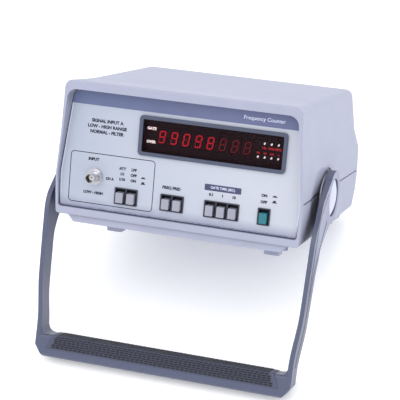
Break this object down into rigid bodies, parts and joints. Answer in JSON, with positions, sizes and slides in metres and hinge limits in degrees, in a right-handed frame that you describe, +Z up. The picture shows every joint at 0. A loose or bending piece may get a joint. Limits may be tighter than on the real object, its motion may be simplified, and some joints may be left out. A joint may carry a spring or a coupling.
{
  "type": "frequency counter",
  "caption": "Bench frequency counter on a swing handle: tapered grey case, recessed front panel with red digit display, input socket and push buttons.",
  "frame": {"origin": "middle of the whole object's box, on the surface it stands on", "axes": "+X to the right seen from the front, +Y backwards, +Z up; the case is tipped up at the front on its handle, and the hinge runs along X"},
  "size_m": [0.2548, 0.3196, 0.2332],
  "materials": {
    "case_plastic": "fine matte texture",
    "panel_plastic": "matte",
    "overlay_film": "fine matte printed film",
    "title_film": "matte printed film",
    "bezel_plastic": "matte",
    "window_acrylic": "glossy smoked red",
    "circuit_board": "solder resist",
    "led_package": "satin",
    "lamp_lens": "diffused lens",
    "dark_bezel": "matte",
    "key_plastic": "satin",
    "power_key_plastic": "satin translucent",
    "switch_plastic": "matte",
    "nickel_plate": "bright nickel",
    "ptfe": "waxy",
    "contact_metal": "gold flash",
    "tinned_steel": "dull tin",
    "chip_plastic": "matte",
    "capacitor_sleeve": "heat-shrink sleeve",
    "heat_sink_metal": "black anodised",
    "core_steel": "varnished laminations",
    "coil_tape": "polyester tape",
    "zinc_steel": "zinc plated",
    "spring_steel": "bright",
    "cable_plastic": "matte",
    "rear_plate": "fine texture paint",
    "black_plastic": "matte",
    "slider_plastic": "satin",
    "hub_cap_plastic": "satin",
    "handle_plastic": "fine matte texture",
    "grip_rubber": "ribbed matte"
  },
  "bodies": {
    "case": {"bnc_body": "nickel_plate", "bnc_contact": "contact_metal", "bnc_insulator": "ptfe", "bnc_nut": "nickel_plate", "board_screws": "zinc_steel", "case_screws": "zinc_steel", "crystal_oscillator": "tinned_steel", "detent_rings": "zinc_steel", "detent_springs": "spring_steel", "display_bezel": "bezel_plastic", "display_board": "circuit_board", "display_window": "window_acrylic", "filter_bezel": "dark_bezel", "filter_capacitors": "capacitor_sleeve", "foot_front_left": "case_plastic", "foot_front_right": "case_plastic", "foot_rear_left": "case_plastic", "foot_rear_right": "case_plastic", "foot_screws": "zinc_steel", "front_panel": "panel_plastic", "function_bezel": "dark_bezel", "fuse_holder": "black_plastic", "gate_bezel": "dark_bezel", "heat_sink": "heat_sink_metal", "hub_screws": "zinc_steel", "hub_spindles": "zinc_steel", "indicator_leds": "lamp_lens", "inlet_pins": "contact_metal", "input_shield": "tinned_steel", "led_digits": "led_package", "logic_chips": "chip_plastic", "lower_cover": "case_plastic", "main_board": "circuit_board", "mains_inlet": "black_plastic", "panel_overlay": "overlay_film", "power_bezel": "dark_bezel", "power_switch": "switch_plastic", "rear_panel": "rear_plate", "regulators": "chip_plastic", "ribbon_cable": "cable_plastic", "signal_switches": "switch_plastic", "title_strip": "title_film", "transformer_bracket": "zinc_steel", "transformer_core": "core_steel", "transformer_windings": "coil_tape", "upper_cover": "case_plastic", "voltage_selector": "black_plastic"},
    "handle": {"handle_bail": "handle_plastic", "grip_pad": "grip_rubber", "hub_caps": "hub_cap_plastic"},
    "attenuator_button": {"attenuator_button": "key_plastic"},
    "low_pass_button": {"low_pass_button": "key_plastic"},
    "frequency_button": {"frequency_button": "key_plastic"},
    "period_button": {"period_button": "key_plastic"},
    "gate_button_short": {"gate_button_short": "key_plastic"},
    "gate_button_medium": {"gate_button_medium": "key_plastic"},
    "gate_button_long": {"gate_button_long": "key_plastic"},
    "power_button": {"power_button": "power_key_plastic"},
    "fuse_cap": {"fuse_cap": "black_plastic"},
    "selector_slider": {"selector_slider": "slider_plastic"}
  },
  "joints": [
    {"name": "handle_swing", "type": "hinge", "parent": "case", "child": "handle", "pos_m": [0, 0.00651, 0.10521], "axis": [1, 0, 0], "range_deg": [-205, 55]},
    {"name": "attenuator_push", "type": "slide", "parent": "case", "child": "attenuator_button", "axis": [0, 0.8643, -0.503], "range_m": [0, 0.003], "stiffness_N_per_m": 250, "springref_m": -0.003},
    {"name": "low_pass_push", "type": "slide", "parent": "case", "child": "low_pass_button", "axis": [0, 0.8643, -0.503], "range_m": [0, 0.003], "stiffness_N_per_m": 250, "springref_m": -0.003},
    {"name": "frequency_push", "type": "slide", "parent": "case", "child": "frequency_button", "axis": [0, 0.8643, -0.503], "range_m": [0, 0.003], "stiffness_N_per_m": 250, "springref_m": -0.003},
    {"name": "period_push", "type": "slide", "parent": "case", "child": "period_button", "axis": [0, 0.8643, -0.503], "range_m": [0, 0.003], "stiffness_N_per_m": 250, "springref_m": -0.003},
    {"name": "gate_short_push", "type": "slide", "parent": "case", "child": "gate_button_short", "axis": [0, 0.8643, -0.503], "range_m": [0, 0.003], "stiffness_N_per_m": 250, "springref_m": -0.003},
    {"name": "gate_medium_push", "type": "slide", "parent": "case", "child": "gate_button_medium", "axis": [0, 0.8643, -0.503], "range_m": [0, 0.003], "stiffness_N_per_m": 250, "springref_m": -0.003},
    {"name": "gate_long_push", "type": "slide", "parent": "case", "child": "gate_button_long", "axis": [0, 0.8643, -0.503], "range_m": [0, 0.003], "stiffness_N_per_m": 250, "springref_m": -0.003},
    {"name": "power_push", "type": "slide", "parent": "case", "child": "power_button", "axis": [0, 0.8643, -0.503], "range_m": [0, 0.003], "stiffness_N_per_m": 250, "springref_m": -0.003},
    {"name": "fuse_cap_turn", "type": "hinge", "parent": "case", "child": "fuse_cap", "pos_m": [-0.02, 0.1233, 0.06732], "axis": [0, 0.8643, -0.503], "range_deg": [0, 45]},
    {"name": "voltage_select", "type": "slide", "parent": "case", "child": "selector_slider", "axis": [1, 0, 0], "range_m": [0, 0.005]}
  ]
}
